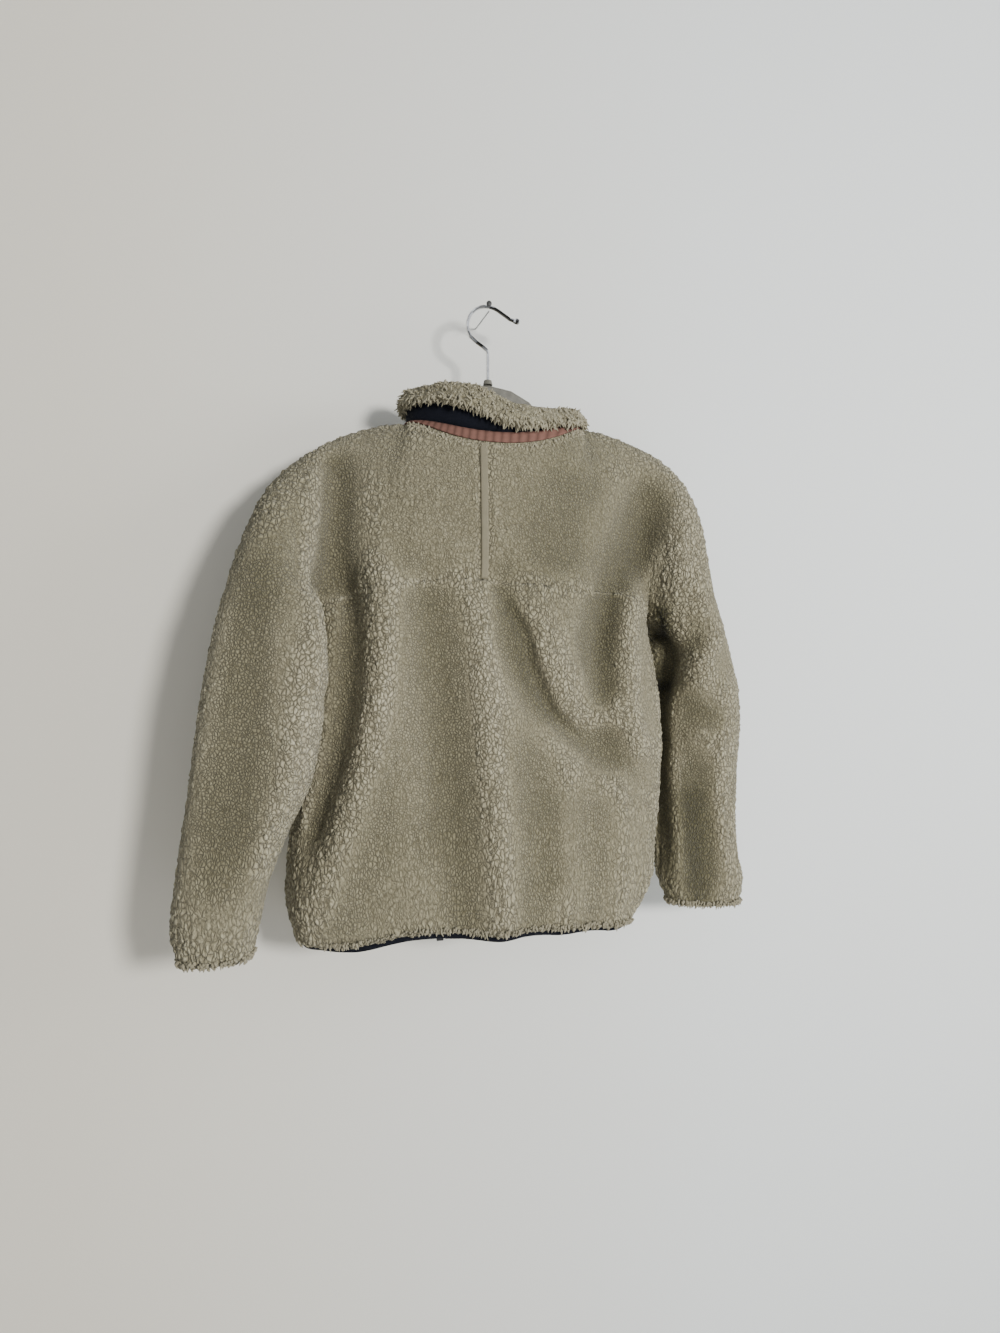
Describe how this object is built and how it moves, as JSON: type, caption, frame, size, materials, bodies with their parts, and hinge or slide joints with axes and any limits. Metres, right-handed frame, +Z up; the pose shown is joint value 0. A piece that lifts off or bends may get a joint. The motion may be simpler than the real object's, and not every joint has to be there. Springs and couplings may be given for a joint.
{
  "type": "fleece jacket on a hanger",
  "caption": "Deep-pile fleece jacket with a rolled stand collar, yoke and full-length zip, hanging hollow from a plastic hanger with a wire hook.",
  "frame": {"origin": "underside of the top of the hanger's hook, where a peg carries it", "axes": "+Z up; the hanger lies in the plane y = 0; -Y is the side of the jacket's back, +Y the side of its zip; -X is the wearer's left"},
  "size_m": [0.648, 0.1513, 0.7263],
  "materials": {
    "fleece": "deep curled beige-grey pile, matt",
    "seam_strip": "flat brushed knit, a little lighter than the pile",
    "navy_knit": "fine dark navy knit",
    "pink_tape": "dusty pink ribbed tape",
    "zip_plastic": "dark navy moulded plastic",
    "zip_metal": "dark satin",
    "hanger_plastic": "grey moulded plastic",
    "chrome_wire": "bright plated wire"
  },
  "bodies": {
    "jacket": {"yoke_sleeve_left": "fleece", "yoke_sleeve_right": "fleece", "back_panel": "fleece", "front_left": "fleece", "front_right": "fleece", "collar_facing": "fleece", "centre_back_strip": "seam_strip", "collar_stand": "navy_knit", "hem_binding": "navy_knit", "neck_tape": "pink_tape", "zip_tape_left": "navy_knit", "zip_tape_right": "navy_knit", "zip_chain": "zip_plastic", "zip_box": "zip_plastic", "zip_slider": "zip_metal", "hanger_body": "hanger_plastic", "hook_boss": "hanger_plastic", "hook": "chrome_wire"},
    "pull_tab": {"zip_pull_tab": "zip_metal"}
  },
  "joints": [
    {"name": "pull_tab_swing", "type": "hinge", "parent": "jacket", "child": "pull_tab", "pos_m": [-0.00081, 0.04587, -0.16211], "axis": [1, 0, 0], "range_deg": [0, 150]}
  ]
}
